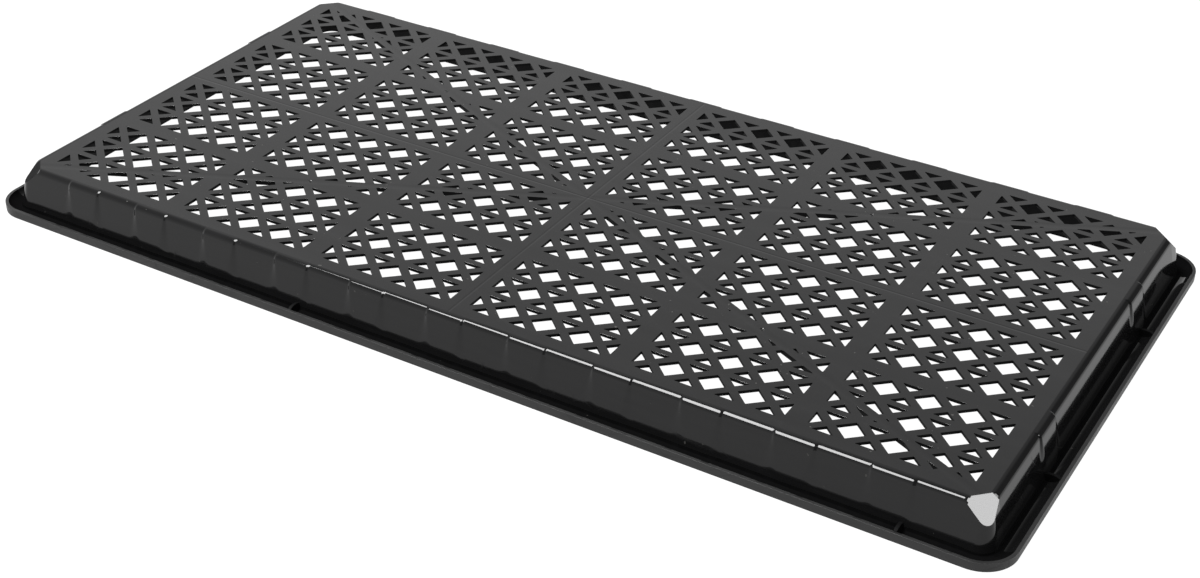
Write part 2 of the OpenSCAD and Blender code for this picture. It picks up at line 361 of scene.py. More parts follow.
def makeHandlingWear():
    # short hairline scratches and a little dust from the potting bench
    group, nodes, links, start, end = newGroup(
        "handlingWear",
        [("Vector", "NodeSocketVector", None), ("Scratch Scale", "NodeSocketFloat", 70.0),
         ("Scratch Width", "NodeSocketFloat", 0.012), ("Dust Scale", "NodeSocketFloat", 420.0),
         ("Dust Level", "NodeSocketFloat", 0.79)],
        [("Scratches", "NodeSocketFloat"), ("Dust", "NodeSocketFloat")])
    given, lines = start.outputs, []
    for turn in wearSettings["scratchTurns"]:
        spin = nodes.new("ShaderNodeVectorRotate")
        spin.rotation_type = "Z_AXIS"
        feed(links, spin, {"Vector": given["Vector"], "Angle": turn})
        drawn = stretchNode(nodes, links, spin.outputs["Vector"], wearSettings["scratchStretch"])
        cells = nodes.new("ShaderNodeTexVoronoi")
        cells.feature = "DISTANCE_TO_EDGE"
        feed(links, cells, {"Vector": drawn, "Scale": given["Scratch Scale"]})
        lines.append(mathNode(nodes, links, "LESS_THAN", cells.outputs["Distance"],
                              given["Scratch Width"]))
    both = mathNode(nodes, links, "MAXIMUM", lines[0], lines[1])
    patches = noiseNode(nodes, links, given["Vector"], wearSettings["patchScale"], 2)
    worn = mathNode(nodes, links, "GREATER_THAN", patches, wearSettings["patchLevel"])
    scratches = mathNode(nodes, links, "MULTIPLY", both, worn)
    specks = noiseNode(nodes, links, given["Vector"], given["Dust Scale"], 1)
    dust = mathNode(nodes, links, "GREATER_THAN", specks, given["Dust Level"])
    feed(links, end, {"Scratches": scratches, "Dust": dust})
    return group


leaderSlope = 0.4755  # how steeply the flow leaders run across the floor


def makeFloorMarks():
    # scored centre lines, and the slight sink of the plastic over the flow leaders
    group, nodes, links, start, end = newGroup(
        "floorMarks",
        [("Vector", "NodeSocketVector", None), ("Score Depth", "NodeSocketFloat", 0.00005),
         ("Score Width", "NodeSocketFloat", 0.0009), ("Sink Depth", "NodeSocketFloat", 0.00003),
         ("Sink Width", "NodeSocketFloat", 0.0032)],
        [("Height", "NodeSocketFloat")])
    axes = nodes.new("ShaderNodeSeparateXYZ")
    links.new(start.outputs["Vector"], axes.inputs[0])
    away = {axis: mathNode(nodes, links, "ABSOLUTE", axes.outputs[axis]) for axis in "XY"}
    along = mathNode(nodes, links, "MULTIPLY", away["X"], leaderSlope)
    aside = mathNode(nodes, links, "SUBTRACT", away["Y"], along)
    aside = mathNode(nodes, links, "MULTIPLY", aside, 1 / math.hypot(1, leaderSlope))
    aside = mathNode(nodes, links, "ABSOLUTE", aside)
    total = None
    for distance, width, depth in ((away["X"], "Score Width", "Score Depth"),
                                   (away["Y"], "Score Width", "Score Depth"),
                                   (aside, "Sink Width", "Sink Depth")):
        near = nodes.new("ShaderNodeMapRange")
        near.interpolation_type = "SMOOTHERSTEP"
        feed(links, near, {"Value": distance, "From Min": start.outputs[width], "From Max": 0})
        deep = mathNode(nodes, links, "MULTIPLY", near.outputs["Result"], start.outputs[depth])
        total = deep if total is None else mathNode(nodes, links, "ADD", total, deep)
    links.new(mathNode(nodes, links, "MULTIPLY", total, -1.0), end.inputs["Height"])
    return group


plasticSettings = {
    # dark and pale are the colours between flow marks and on them; gloss is the least
    # roughness and dullness what the flow marks add; bumpDepth is in metres
    "floorPlastic": {
        "dark": (0.0012, 0.0012, 0.0013), "pale": (0.0028, 0.0028, 0.003),
        "gloss": 0.10, "dullness": 0.10, "grainScale": 1400, "rippleScale": 26,
        "rippleShare": 0.45, "bumpDepth": 0.000012, "streak": (14, 120, 120),
        "shine": 0.5, "floorMarks": True,
    },
    "wallPlastic": {
        "dark": (0.004, 0.004, 0.0041), "pale": (0.0055, 0.0055, 0.0057),
        "gloss": 0.04, "dullness": 0.04, "grainScale": 1100, "rippleScale": 55,
        "rippleShare": 0.7, "bumpDepth": 0.000005, "streak": (30, 30, 420),
        "shine": 0.3, "floorMarks": False,
    },
    "lipPlastic": {
        "dark": (0.001, 0.001, 0.0011), "pale": (0.0025, 0.0025, 0.0027),
        "gloss": 0.44, "dullness": 0.14, "grainScale": 1300, "rippleScale": 70,
        "rippleShare": 0.5, "bumpDepth": 0.000014, "streak": (60, 60, 300),
        "shine": 0.5, "floorMarks": False,
    },
    "dullPlastic": {
        "dark": (0.0016, 0.0016, 0.0017), "pale": (0.0026, 0.0026, 0.0028),
        "gloss": 0.55, "dullness": 0.15, "grainScale": 1600, "rippleScale": 90,
        "rippleShare": 0.3, "bumpDepth": 0.000008, "streak": (300, 300, 30),
        "shine": 0.06, "floorMarks": False,
    },
}
# the gutter gets no shine and a fixed near-black tone, painted shade for the hollow between wall
# and lip; the end walls take the wall plastic with half its shine, and the ridge of their gutter
# takes it with more shine, a lit copy that catches a highlight line the side rims' gutter lacks
plasticSettings["shadedGutterPlastic"] = {**plasticSettings["dullPlastic"], "shine": 0.0,
                                    "dark": (0.0024, 0.0024, 0.0025),
                                    "pale": (0.003, 0.003, 0.0031)}
plasticSettings["endPlastic"] = {**plasticSettings["wallPlastic"], "shine": 0.15}
plasticSettings["ridgePlastic"] = {**plasticSettings["wallPlastic"], "shine": 0.5}


plasticIndex = 1.49


def makePlastic(name, groups):
    look, wornLook = plasticSettings[name], wearSettings
    material = bpy.data.materials.new(name)
    material.use_nodes = True
    nodes, links = material.node_tree.nodes, material.node_tree.links
    shader = nodes["Principled BSDF"]
    place = nodes.new("ShaderNodeTexCoord")

    def placeGroup(key, values):
        node = nodes.new("ShaderNodeGroup")
        node.node_tree = groups[key]
        feed(links, node, {"Vector": place.outputs["Object"], **values})
        return node.outputs

    grain = placeGroup("grain", {"Grain Scale": look["grainScale"],
                                 "Ripple Scale": look["rippleScale"],
                                 "Ripple Share": look["rippleShare"]})
    flow = placeGroup("flow", {"Stretch": look["streak"]})
    wear = placeGroup("wear", {})

    # colour: nearly black, a touch paler along flow marks and where dust lies
    def mixColor(share, a, b):
        node = nodes.new("ShaderNodeMix")
        node.data_type = "RGBA"
        feed(links, node, {"Factor": share, "A": a, "B": b})
        return node.outputs["Result"]

    tint = mixColor(flow["Mask"], (*look["dark"], 1), (*look["pale"], 1))
    dustShare = mathNode(nodes, links, "MULTIPLY", wear["Dust"], wornLook["dustShare"])
    color = mixColor(dustShare, tint, (*wornLook["dustColor"], 1))

    # gloss: mould polish, broken by flow marks and hairline scratches
    streaky = mathNode(nodes, links, "MULTIPLY", flow["Mask"], look["dullness"])
    scratched = mathNode(nodes, links, "MULTIPLY", wear["Scratches"],
                         wornLook["scratchDullness"])
    dusted = mathNode(nodes, links, "MULTIPLY", wear["Dust"], wornLook["dustDullness"])
    rough = mathNode(nodes, links, "ADD", streaky, look["gloss"])
    rough = mathNode(nodes, links, "ADD", rough, scratched)
    rough = mathNode(nodes, links, "ADD", rough, dusted, clamp=True)

    # height, in metres
    height = mathNode(nodes, links, "MULTIPLY", grain["Height"], look["bumpDepth"])
    if look["floorMarks"]:
        marks = placeGroup("marks", {})
        height = mathNode(nodes, links, "ADD", height, marks["Height"])
    bump = nodes.new("ShaderNodeBump")
    feed(links, bump, {"Height": height, "Distance": 1.0})
    feed(links, shader, {"Base Color": color, "Roughness": rough, "IOR": plasticIndex,
                         "Specular IOR Level": look["shine"], "Normal": bump.outputs["Normal"]})
    return material


plasticGroups = {"grain": makeMouldGrain(), "flow": makeFlowMarks(),
                 "wear": makeHandlingWear(), "marks": makeFloorMarks()}
plastics = {name: makePlastic(name, plasticGroups) for name in plasticSettings}
print("plastics made:", len(plastics))


meshFloor = {
    "panelsLong": 6,
    "panelsWide": 4,
    "crossBand": 10.3,
    "longBand": 9.4,
    "endBorder": 8.13,
    "sideBorder": 7.163,
    "diamonds": 3,
    "rows": 3,
    "rowBar": 3.5,
    "diagonalBar": 3.9,
    "leaderWidth": 4.2,
    "cornerRound": 0.18,   # radius in the corners of an opening
    "edgeRound": 0.07,     # break along the edges of an opening
    "sliver": 0.9,         # smallest opening the moulding leaves, in square mm
    "shortest": 0.25,      # shortest side an opening keeps
    "gatePlace": (125.6, 59.4),
    "gateRadius": 1.1,
    "gateClear": 2.0,      # no opening comes nearer to a gate's middle
    "gateSteps": 20,
    # down a gate's dish and up its nub: share of the radius, and height
    "gateRings": [(1.0, 0), (0.86, -0.09), (0.62, -0.2), (0.4, -0.21), (0.34, -0.06),
                  (0.2, -0.04)],
}


def spread(count, pitch):
    return [(i - (count - 1) / 2) * pitch for i in range(count)]


def panelSize(half, border, count, band):
    return (2 * (half - border) - (count - 1) * band) / count


def latticeOpenings():
    # every opening of the lattice as a convex outline, before the leaders
    m = meshFloor
    panelX = panelSize(floorX, m["endBorder"], m["panelsLong"], m["crossBand"])
    panelY = panelSize(floorY, m["sideBorder"], m["panelsWide"], m["longBand"])
    cellX = (panelX + m["rowBar"]) / (m["diamonds"] + 1)
    cellY = (panelY + m["rowBar"]) / m["rows"]
    slant = cellY / cellX
    barRise = m["diagonalBar"] / 2 * math.sqrt(1 + slant * slant)
    barRun = barRise / slant
    rowHalf = (cellY - m["rowBar"]) / 2
    halfX, halfY = cellX / 2 - barRun, cellY / 2 - barRise
    base = (rowHalf - barRise) / slant
    tip = cellX * m["diamonds"] / 2 + barRun
    endHalf = (panelX / 2 - tip) * slant
    outlines = []
    for panelAtX in spread(m["panelsLong"], panelX + m["crossBand"]):
        for panelAtY in spread(m["panelsWide"], panelY + m["longBand"]):
            for row in spread(m["rows"], cellY):
                y = panelAtY + row
                for column in spread(m["diamonds"], cellX):
                    x = panelAtX + column
                    outlines.append([(x + halfX, y), (x, y + halfY),
                                     (x - halfX, y), (x, y - halfY)])
                for column in spread(m["diamonds"] + 1, cellX):
                    x = panelAtX + column
                    for way in (1, -1):
                        outlines.append([(x, y + way * barRise),
                                         (x + way * base, y + way * rowHalf),
                                         (x - way * base, y + way * rowHalf)])
                edge = panelX / 2
                outlines.append([(panelAtX + tip, y), (panelAtX + edge, y - endHalf),
                                 (panelAtX + edge, y + endHalf)])
                outlines.append([(panelAtX - tip, y), (panelAtX - edge, y + endHalf),
                                 (panelAtX - edge, y - endHalf)])
    return outlines


def clipOutline(outline, a, b, c):
    # the part of a convex outline where a x + b y >= c
    kept = []
    for i, p in enumerate(outline):
        q = outline[(i + 1) % len(outline)]
        dp, dq = a * p[0] + b * p[1] - c, a * q[0] + b * q[1] - c
        if dp >= 0:
            kept.append(p)
        if dp * dq < 0:
            t = dp / (dp - dq)
            kept.append((p[0] + (q[0] - p[0]) * t, p[1] + (q[1] - p[1]) * t))
    return kept


def outlineArea(outline):
    total = 0
    for i, p in enumerate(outline):
        q = outline[(i + 1) % len(outline)]
        total += p[0] * q[1] - q[0] * p[1]
    return total / 2


def openingsBesideLeaders():
    # the openings, cut back where a flow leader runs under them
    outlines = latticeOpenings()
    half = meshFloor["leaderWidth"] / 2
    for hand in (1, -1):
        size = math.hypot(1, leaderSlope)
        nx, ny = -hand * leaderSlope / size, 1 / size
        split = []
        for outline in outlines:
            away = [nx * x + ny * y for x, y in outline]
            if min(away) > half or max(away) < -half:
                split.append(outline)
                continue
            split.append(clipOutline(outline, nx, ny, half))
            split.append(clipOutline(outline, -nx, -ny, half))
        outlines = [o for o in split if len(o) > 2 and outlineArea(o) > meshFloor["sliver"]]
    return outlines


def tidyOutline(outline):
    # drops corners that clipping left too close together
    kept = []
    for p in outline:
        if not kept or math.dist(p, kept[-1]) > meshFloor["shortest"]:
            kept.append(p)
    if len(kept) > 1 and math.dist(kept[0], kept[-1]) <= meshFloor["shortest"]:
        kept.pop()
    return kept


def roundedLoop(outline, radius, grow, steps=2):
    # the outline with rounded corners, its edges moved outwards by grow
    mostOfSide, leastBend = 0.42, 0.05
    loop = []
    count = len(outline)
    for i in range(count):
        before, here, after = outline[i - 1], outline[i], outline[(i + 1) % count]
        inX, inY = here[0] - before[0], here[1] - before[1]
        outX, outY = after[0] - here[0], after[1] - here[1]
        inSize, outSize = math.hypot(inX, inY), math.hypot(outX, outY)
        normalIn = (inY / inSize, -inX / inSize)
        normalOut = (outY / outSize, -outX / outSize)
        turn = math.acos(max(-1, min(1, normalIn[0] * normalOut[0] + normalIn[1] * normalOut[1])))
        room = mostOfSide * min(inSize, outSize)
        bend = min(radius, room / max(leastBend, math.tan(turn / 2)))
        shrink = bend / max(leastBend, math.cos(turn / 2))
        midX, midY = normalIn[0] + normalOut[0], normalIn[1] + normalOut[1]
        midSize = math.hypot(midX, midY)
        cx = here[0] - midX / midSize * shrink
        cy = here[1] - midY / midSize * shrink
        start = math.atan2(normalIn[1], normalIn[0])
        for k in range(steps + 1):
            angle = start + turn * k / steps
            reach = bend + grow
            loop.append((cx + reach * math.cos(angle), cy + reach * math.sin(angle)))
    return loop


def fillPlane(outer, holes):
    # triangles of a flat plate with holes, as points and triples of indices
    points = [Vector(p) for p in outer]
    edges = [(i, (i + 1) % len(outer)) for i in range(len(outer))]
    for hole in holes:
        first = len(points)
        points += [Vector(p) for p in hole]
        edges += [(first + i, first + (i + 1) % len(hole)) for i in range(len(hole))]
    samePoint = 1e-7
    made, madeEdges, triangles, fromPoints, fromEdges, _ = delaunay_2d_cdt(
        points, edges, [], 0, samePoint)
    walls = {tuple(sorted(e)) for e, source in zip(madeEdges, fromEdges) if source}
    beside = {}
    for index, t in enumerate(triangles):
        for k in range(3):
            beside.setdefault(tuple(sorted((t[k], t[(k + 1) % 3]))), []).append(index)
    # the plate is what can be reached from its outer edge without crossing an outline
    rim = None
    outerAt = {i for i, sources in enumerate(fromPoints) if any(s < len(outer) for s in sources)}
    for edge in walls:
        if edge[0] in outerAt and edge[1] in outerAt and len(beside[edge]) == 1:
            rim = beside[edge][0]
            break
    inside, queue = {rim}, [rim]
    while queue:
        t = triangles[queue.pop()]
        for k in range(3):
            edge = tuple(sorted((t[k], t[(k + 1) % 3])))
            if edge in walls:
                continue
            for other in beside[edge]:
                if other not in inside:
                    inside.add(other)
                    queue.append(other)
    return [(p.x, p.y) for p in made], [triangles[i] for i in sorted(inside)]


def makeMeshFloor():
    top, under = traySizes["height"], traySizes["height"] - traySizes["skin"]
    soft = meshFloor["edgeRound"]
    half = 0.3 * soft        # where an edge's round is half turned
    flat, steep = 0.9999, 0.9   # faces that point up or down more are flat, less are sides
    outer = floorOutline()
    holes = [tidyOutline(o) for o in openingsBesideLeaders()]
    holes = [o for o in holes if len(o) > 2]
    print("lattice openings:", len(holes))
    # each ring: how far the edge is drawn back, and its height
    rings = [(soft, top), (half, top - half), (0, top - soft),
             (0, under + soft), (half, under + half), (soft, under)]
    points, faces = [], []
    loops = [[roundedLoop(o, meshFloor["cornerRound"], grow) for o in holes] for grow, _ in rings]
    for level, loopSet, upward in ((top, loops[0], True), (under, loops[-1], False)):
        extra = gateLoops() if upward else []
        made, triangles = fillPlane(outer, loopSet + extra)
        first = len(points)
        points += [(x, y, level) for x, y in made]
        for t in triangles:
            order = t if upward else (t[0], t[2], t[1])
            faces.append(tuple(first + i for i in order))
    for h in range(len(holes)):
        for (_, zA), (_, zB), loopA, loopB in zip(rings, rings[1:], loops, loops[1:]):
            count = len(loopA[h])
            first = len(points)
            points += [(x, y, zA) for x, y in loopA[h]]
            points += [(x, y, zB) for x, y in loopB[h]]
            for i in range(count):
                j = (i + 1) % count
                faces.append((first + i, first + j, first + count + j, first + count + i))
    addGateDimples(points, faces, top)
    piece = addPiece("latticeFloor", points, faces, "mesh_floor", sharpAngles["floor"])
    coatPiece(piece, "floorPlastic", "dullPlastic")
    for polygon in piece.data.polygons:
        flatness = abs(polygon.normal.z)
        if flatness > flat:
            polygon.use_smooth = False
        # the sides of an opening are drawn off the mould without polish
        toGate = min(math.dist(polygon.center[:2], (x * mm, y * mm)) for x, y in gatePlaces())
        if flatness < steep and toGate > meshFloor["gateClear"] * mm:
            polygon.material_index = 1
    return piece


def gateCircle(place, radius):
    steps = meshFloor["gateSteps"]
    return [(place[0] + radius * math.cos(2 * math.pi * i / steps),
             place[1] + radius * math.sin(2 * math.pi * i / steps)) for i in range(steps)]


def gatePlaces():
    gateX, gateY = meshFloor["gatePlace"]
    return [(endX * gateX, endY * gateY) for endX in (-1, 1) for endY in (-1, 1)]


def gateLoops():
    return [gateCircle(p, meshFloor["gateRadius"]) for p in gatePlaces()]


def addGateDimples(points, faces, top):
    # a shallow dish with a snipped-off nub, where each runner was cut away
    radius, steps, rings = (meshFloor[k] for k in ("gateRadius", "gateSteps", "gateRings"))
    for place in gatePlaces():
        first = len(points)
        for share, drop in rings:
            points.extend((x, y, top + drop) for x, y in gateCircle(place, radius * share))
        for r in range(len(rings) - 1):
            for i in range(steps):
                j = (i + 1) % steps
                a, b = first + r * steps, first + (r + 1) * steps
                faces.append((a + i, a + j, b + j, b + i))
        last = first + (len(rings) - 1) * steps
        faces.append(tuple(range(last, last + steps)))


rimSizes = {
    "lipHeight": 4.3,
    "lipWidth": 1.7,
    "gutterSweep": 4.65,  # level reach of the curve from the flange up to the lip
    "gutterSteps": 8,
    "gutterShare": 0.96,  # the curve stops this share of the way, short of the lip's slope
    "lipSlope": ((0.03, 0.05), (0.12, 0)),  # out from the lip's inner edge, and under its top
    "lipEdge": 0.12,
    "crestShort": 0.1,    # the lip's plastic stops this far outside its inner edge
    "rootEdge": 0.7,      # inside, where the underside turns up into the wall
    "edgeSteps": 4,
    "footFillet": 0.45,   # where the wall meets the flange
    "footSteps": 5,
    "shoulderSteps": 9,
    "wallSteps": 12,
    "facetSteps": 4,
    "slideSteps": 5,
    "cornerSteps": 20,
}


def smoothStep(t):
    t = max(0.0, min(1.0, t))
    return t * t * (3 - 2 * t)


def padOut(side, at, width, drift):
    # how far out a pad carries the wall; it eases off down the wall
    step, soft = (high + (low - high) * drift for high, low in (side["step"], side["soft"]))
    cover = 0.0
    for centre in side["pads"]:
        away = abs(at - centre) - width / 2
        cover = max(cover, smoothStep((soft - away) / (2 * soft)))
    return step * cover


sidePads = spread(padSizes["sideCount"],
                  2 * (facetX - padSizes["sideMargin"]) / (padSizes["sideCount"] - 1))
endPads = [padSizes["endMargin"] - facetY, facetY - padSizes["endMargin"]]
# half: the floor's edge; run: where the facets start along it; top, foot: where the
# corners' centres stand along the side, at the floor and at the foot
endSide = {"half": floorX, "run": facetY, "draft": traySizes["endDraft"], "pads": endPads,
           "width": padSizes["endWidth"], "step": padSizes["endStep"],
           "soft": padSizes["endSoftness"], "flare": traySizes["endFlare"],
           "top": topCentre[1], "foot": rimCentre[1]}
longSide = {"half": floorY, "run": facetX, "draft": traySizes["sideDraft"], "pads": sidePads,
            "width": padSizes["sideWidth"], "step": padSizes["sideStep"],
            "soft": padSizes["sideSoftness"], "flare": traySizes["sideFlare"],
            "top": topCentre[0], "foot": rimCentre[0]}
# in order round the tray, each turned from the right side's own directions
sides = [{**endSide, "name": "right", "turn": 0}, {**longSide, "name": "back", "turn": 90},
         {**endSide, "name": "left", "turn": 180}, {**longSide, "name": "front", "turn": 270}]


def sideAfter(side):
    return sides[(sides.index(side) + 1) % len(sides)]


stationSpacing = {
    "fromFacet": (0, 0.3, 0.6, 0.9, 2),
    "fromPadEdge": (0.12, 0.3, 0.5, 0.75, 1.1, 1.6, 2.4, 3.6, 5.2),
    "nearest": 0.07,   # places nearer together would only make slivers
}


def sideStations(side):
    # places along a side: closely set where a pad's edge rolls in, then spread out
    places = {end * (side["run"] - back) for end in (-1, 1)
              for back in stationSpacing["fromFacet"]}
    for centre in side["pads"]:
        for edge in (-1, 1):
            for skin in (0, traySizes["skin"]):
                at = centre + edge * (side["width"] / 2 - skin)
                places.update(round(at + way * k, 3) for way in (-1, 1)
                              for k in stationSpacing["fromPadEdge"])
    kept = []
    for at in sorted(places):
        if not kept or at - kept[-1] > stationSpacing["nearest"]:
            kept.append(at)
    kept[-1] = side["run"]
    return kept


def turned(turn, out, along):
    c, s = math.cos(math.radians(turn)), math.sin(math.radians(turn))
    return c * out - s * along, s * out + c * along


def makeStation(side, along=None, share=None, end=0, angle=None):
    # one upright section; on a straight it stands at a place along the side,
    # near a corner it slides with the corner's centre, and in a corner it turns
    return {"side": side, "along": along, "share": share, "end": end, "angle": angle}


def sectionPoint(station, out, z, drift, padded):
    # the point of a section at a reach out from the edge of the floor.
    # drift is 0 at the shoulder's centre and 1 at the foot of the wall
    side = station["side"]
    if station["angle"] is None:
        if station["share"] is None:
            along = station["along"]
            if padded == "outer":
                out += padOut(side, along, side["width"], drift)
            elif padded == "inner":
                out += padOut(side, along, side["width"] - 2 * traySizes["skin"], drift)
        else:
            centre = side["top"] + (side["foot"] - side["top"]) * drift
            along = station["end"] * (side["run"] + (centre - side["run"]) * station["share"])
        x, y = turned(side["turn"], side["half"] + out, along)
        return x, y, z
    angle, after = station["angle"], sideAfter(side)
    # centre of the corner at this drift, in the first side's own directions
    alongCentre = side["top"] + (side["foot"] - side["top"]) * drift
    outCentre = after["top"] + (after["foot"] - after["top"]) * drift
    radius = side["half"] + out - outCentre
    x, y = turned(side["turn"], outCentre + radius * math.cos(angle),
                  alongCentre + radius * math.sin(angle))
    return x, y, z


def blended(station, key):
    # a side's own value; round a corner it passes over into the next side's
    side, share = station["side"], (station["angle"] or 0) / (math.pi / 2)
    return side[key] * (1 - share) + sideAfter(side)[key] * share


def wallPoint(station, s, depth):
    # down the skin: s 0 to 1 rounds the shoulder, 1 to 2 runs down to the foot
    draft, reach = blended(station, "draft"), wallReach(station["side"]["draft"])
    bend = traySizes["shoulderRadius"] - depth
    padded = "inner" if depth else "outer"
    if s <= 1:
        angle = math.pi / 2 + (draft - math.pi / 2) * s
        return sectionPoint(station, bend * math.cos(angle), shoulderZ + bend * math.sin(angle),
                            0, padded)
    t = s - 1
    topOut, topZ = bend * math.cos(draft), shoulderZ + bend * math.sin(draft)
    footOut = reach - depth / math.cos(draft)
    sweep = max(0.0, (t - traySizes["flareStart"]) / (1 - traySizes["flareStart"])) ** 2
    out = topOut + (footOut - topOut) * t + blended(station, "flare") * sweep
    return sectionPoint(station, out, topZ + (traySizes["flange"] - topZ) * t, t, padded)


def facetDrop(depth):
    # how far under the facet's outer face the face at this depth lies, straight down
    return depth * math.sqrt(1 + traySizes["facetSlope"] ** 2)


def overFacet(point, depth):
    # height of a point above the sloping facet
    x, y, z = point
    return z - (traySizes["height"] - facetDrop(depth) - (abs(x) + abs(y) - facetSum) * facetFall)


facetTouch = 0.49  # where on the shoulder a facet first touches it
touching = 1e-6    # nearer than this counts as on the facet


def facetCut(station, depth):
    # where the facet enters and leaves the skin, going down from the floor
    steps, halvings = 160, 30
    above = [overFacet(wallPoint(station, 2 * i / steps, depth), depth) > touching
             for i in range(steps + 1)]
    if not any(above):
        return facetTouch, facetTouch
    first, last = above.index(True), steps - above[::-1].index(True)

    def crossing(low, high):
        lowOver = overFacet(wallPoint(station, low, depth), depth) > 0
        for _ in range(halvings):
            mid = (low + high) / 2
            if (overFacet(wallPoint(station, mid, depth), depth) > 0) == lowOver:
                low = mid
            else:
                high = mid
        return (low + high) / 2

    enter = 0.0 if first == 0 else crossing(2 * (first - 1) / steps, 2 * first / steps)
    leave = crossing(2 * last / steps, 2 * (last + 1) / steps)
    return enter, leave


def backToFacet(x, y, z, over):
    # draws a point that lies over a facet's top edge straight back onto it
    pull = max(0.0, over) / 2
    return x - math.copysign(pull, x), y - math.copysign(pull, y), z


def floorEdge(station, depth):
    # where the floor ends: the start of the shoulder, or the edge of a facet
    x, y, z = wallPoint(station, 0, depth)
    over = abs(x) + abs(y) - facetSum + (facetDrop(depth) - depth) / facetFall
    return backToFacet(x, y, z, over)


def skinColumn(station, depth):
    # points down one face of the wall, from the floor's edge to the foot
    enter, leave = facetCut(station, depth)
    edge = floorEdge(station, depth)
    r = rimSizes
    half = r["shoulderSteps"] // 2
    column = []
    if enter == 0.0 and overFacet(wallPoint(station, 0, depth), depth) > touching:
        column += [edge] * half
        start = edge
    else:
        column += [wallPoint(station, enter * i / half, depth) for i in range(half)]
        start = wallPoint(station, enter, depth)
    finish = wallPoint(station, leave, depth)
    for i in range(r["facetSteps"]):
        t = i / r["facetSteps"]
        column.append(tuple(a + (b - a) * t for a, b in zip(start, finish)))
    rest = r["shoulderSteps"] - half
    if leave < 1:
        column += [wallPoint(station, leave + (1 - leave) * i / rest, depth) for i in range(rest)]
    else:
        column += [finish] * rest
    low = max(1.0, leave)
    column += [wallPoint(station, low + (2 - low) * i / r["wallSteps"], depth)
               for i in range(r["wallSteps"] + 1)]
    return column


floorInset = 0.5   # the wall pieces carry this much of the flat floor with them
facetInset = 0.3   # and this much of it, measured the same way as facetSum


def insetEdge(station, z):
    x, y, _ = sectionPoint(station, -floorInset, z, 0, None)
    return backToFacet(x, y, z, abs(x) + abs(y) - (facetSum - facetInset))


flangeStart = 1.6  # how far out from the wall the rim pieces take over


def footColumn(station):
    # the small hollow where the wall meets the flange, then a strip of flange
    draft, reach = blended(station, "draft"), wallReach(station["side"]["draft"])
    bend, steps = rimSizes["footFillet"], rimSizes["footSteps"]
    tangent = bend * math.tan((math.pi / 2 - draft) / 2)
    centreOut, centreZ = reach + blended(station, "flare") + tangent, traySizes["flange"] + bend
    column = []
    for i in range(1, steps + 1):
        angle = math.pi + draft + (math.pi / 2 - draft) * i / steps
        column.append(sectionPoint(station, centreOut + bend * math.cos(angle),
                                   centreZ + bend * math.sin(angle), 1, "outer"))
    column.append(sectionPoint(station, reach + flangeStart, traySizes["flange"], 1, None))
    return column


def wallEnd(station):
    # how far down the wall the little hollow starts
    draft = blended(station, "draft")
    tangent = rimSizes["footFillet"] * math.tan((math.pi / 2 - draft) / 2)
    topZ = shoulderZ + traySizes["shoulderRadius"] * math.sin(draft)
    return 2 - tangent * math.cos(draft) / (topZ - traySizes["flange"])


def outerColumn(station):
    column = [insetEdge(station, traySizes["height"])] + skinColumn(station, 0)
    column[-1] = wallPoint(station, wallEnd(station), 0)
    return column + footColumn(station)


def innerColumn(station):
    under = traySizes["height"] - traySizes["skin"]
    return [insetEdge(station, under)] + skinColumn(station, traySizes["skin"])


def gutterCurve():
    # radius, angle and level start of the curve from the flange up to the lip
    rise = rimSizes["lipHeight"] - traySizes["flange"]
    bend = (rimSizes["gutterSweep"] ** 2 + rise ** 2) / (2 * rise)
    foot = traySizes["rimOverhang"] - rimSizes["lipWidth"] - rimSizes["gutterSweep"]
    return bend, math.asin(rimSizes["gutterSweep"] / bend), foot


def roundEdge(centreOut, centreZ, radius, start, padded=None):
    # a quarter turn clockwise, as points of the rim's section
    steps, edge = rimSizes["edgeSteps"], []
    for i in range(steps + 1):
        angle = start - math.pi / 2 * i / steps
        edge.append((centreOut + radius * math.cos(angle), centreZ + radius * math.sin(angle),
                     padded))
    return edge


def rimColumn(station):
    # once round the rim, from the flange over the lip to the inside of the wall
    r, flange, out = rimSizes, traySizes["flange"], traySizes["rimOverhang"]
    reach = wallReach(station["side"]["draft"])
    bend, full, foot = gutterCurve()
    section = [(flangeStart, flange, None), (foot, flange, None)]
    for i in range(1, r["gutterSteps"] + 1):
        angle = full * r["gutterShare"] * i / r["gutterSteps"]
        section.append((foot + bend * math.sin(angle), flange + bend - bend * math.cos(angle),
                        None))
    lip, high, soft = out - r["lipWidth"], r["lipHeight"], r["lipEdge"]
    section += [(lip + over, high - under, None) for over, under in r["lipSlope"]]
    section += roundEdge(out - soft, high - soft, soft, math.pi / 2)
    section += roundEdge(out - soft, soft, soft, 0)
    # the wall's own thickness, measured level, and the outward sweep of its foot
    root = traySizes["skin"] / math.cos(traySizes["endDraft"])
    inner = r["rootEdge"]
    rootOut = blended(station, "flare") - root
    section += roundEdge(rootOut + inner, inner, inner, -math.pi / 2, "inner")
    column = [sectionPoint(station, reach + w, z, 1, padded) for w, z, padded in section]
    return column + [wallPoint(station, 2, traySizes["skin"])]


def sheetFaces(columns, points, faces, flip=False):
    # joins neighbouring columns of points with four-sided faces
    height = len(columns[0])
    first = len(points)
    for column in columns:
        points.extend(column)
    for i in range(len(columns) - 1):
        a, b = first + i * height, first + (i + 1) * height
        for k in range(height - 1):
            quad = (a + k, a + k + 1, b + k + 1, b + k)
            faces.append(tuple(reversed(quad)) if flip else quad)


def straightStations(side):
    return [makeStation(side, along=at) for at in sideStations(side)]


def slidingStations(side, end, inwards):
    steps = rimSizes["slideSteps"]
    shares = [i / steps for i in range(steps + 1)]
    if inwards:
        shares.reverse()
    return [makeStation(side, share=t, end=end) for t in shares]


def turningStations(side):
    steps = rimSizes["cornerSteps"]
    return [makeStation(side, angle=math.pi / 2 * i / steps) for i in range(steps + 1)]


def cornerStations(side):
    return (slidingStations(side, 1, False) + turningStations(side)[1:-1]
            + slidingStations(sideAfter(side), -1, True))


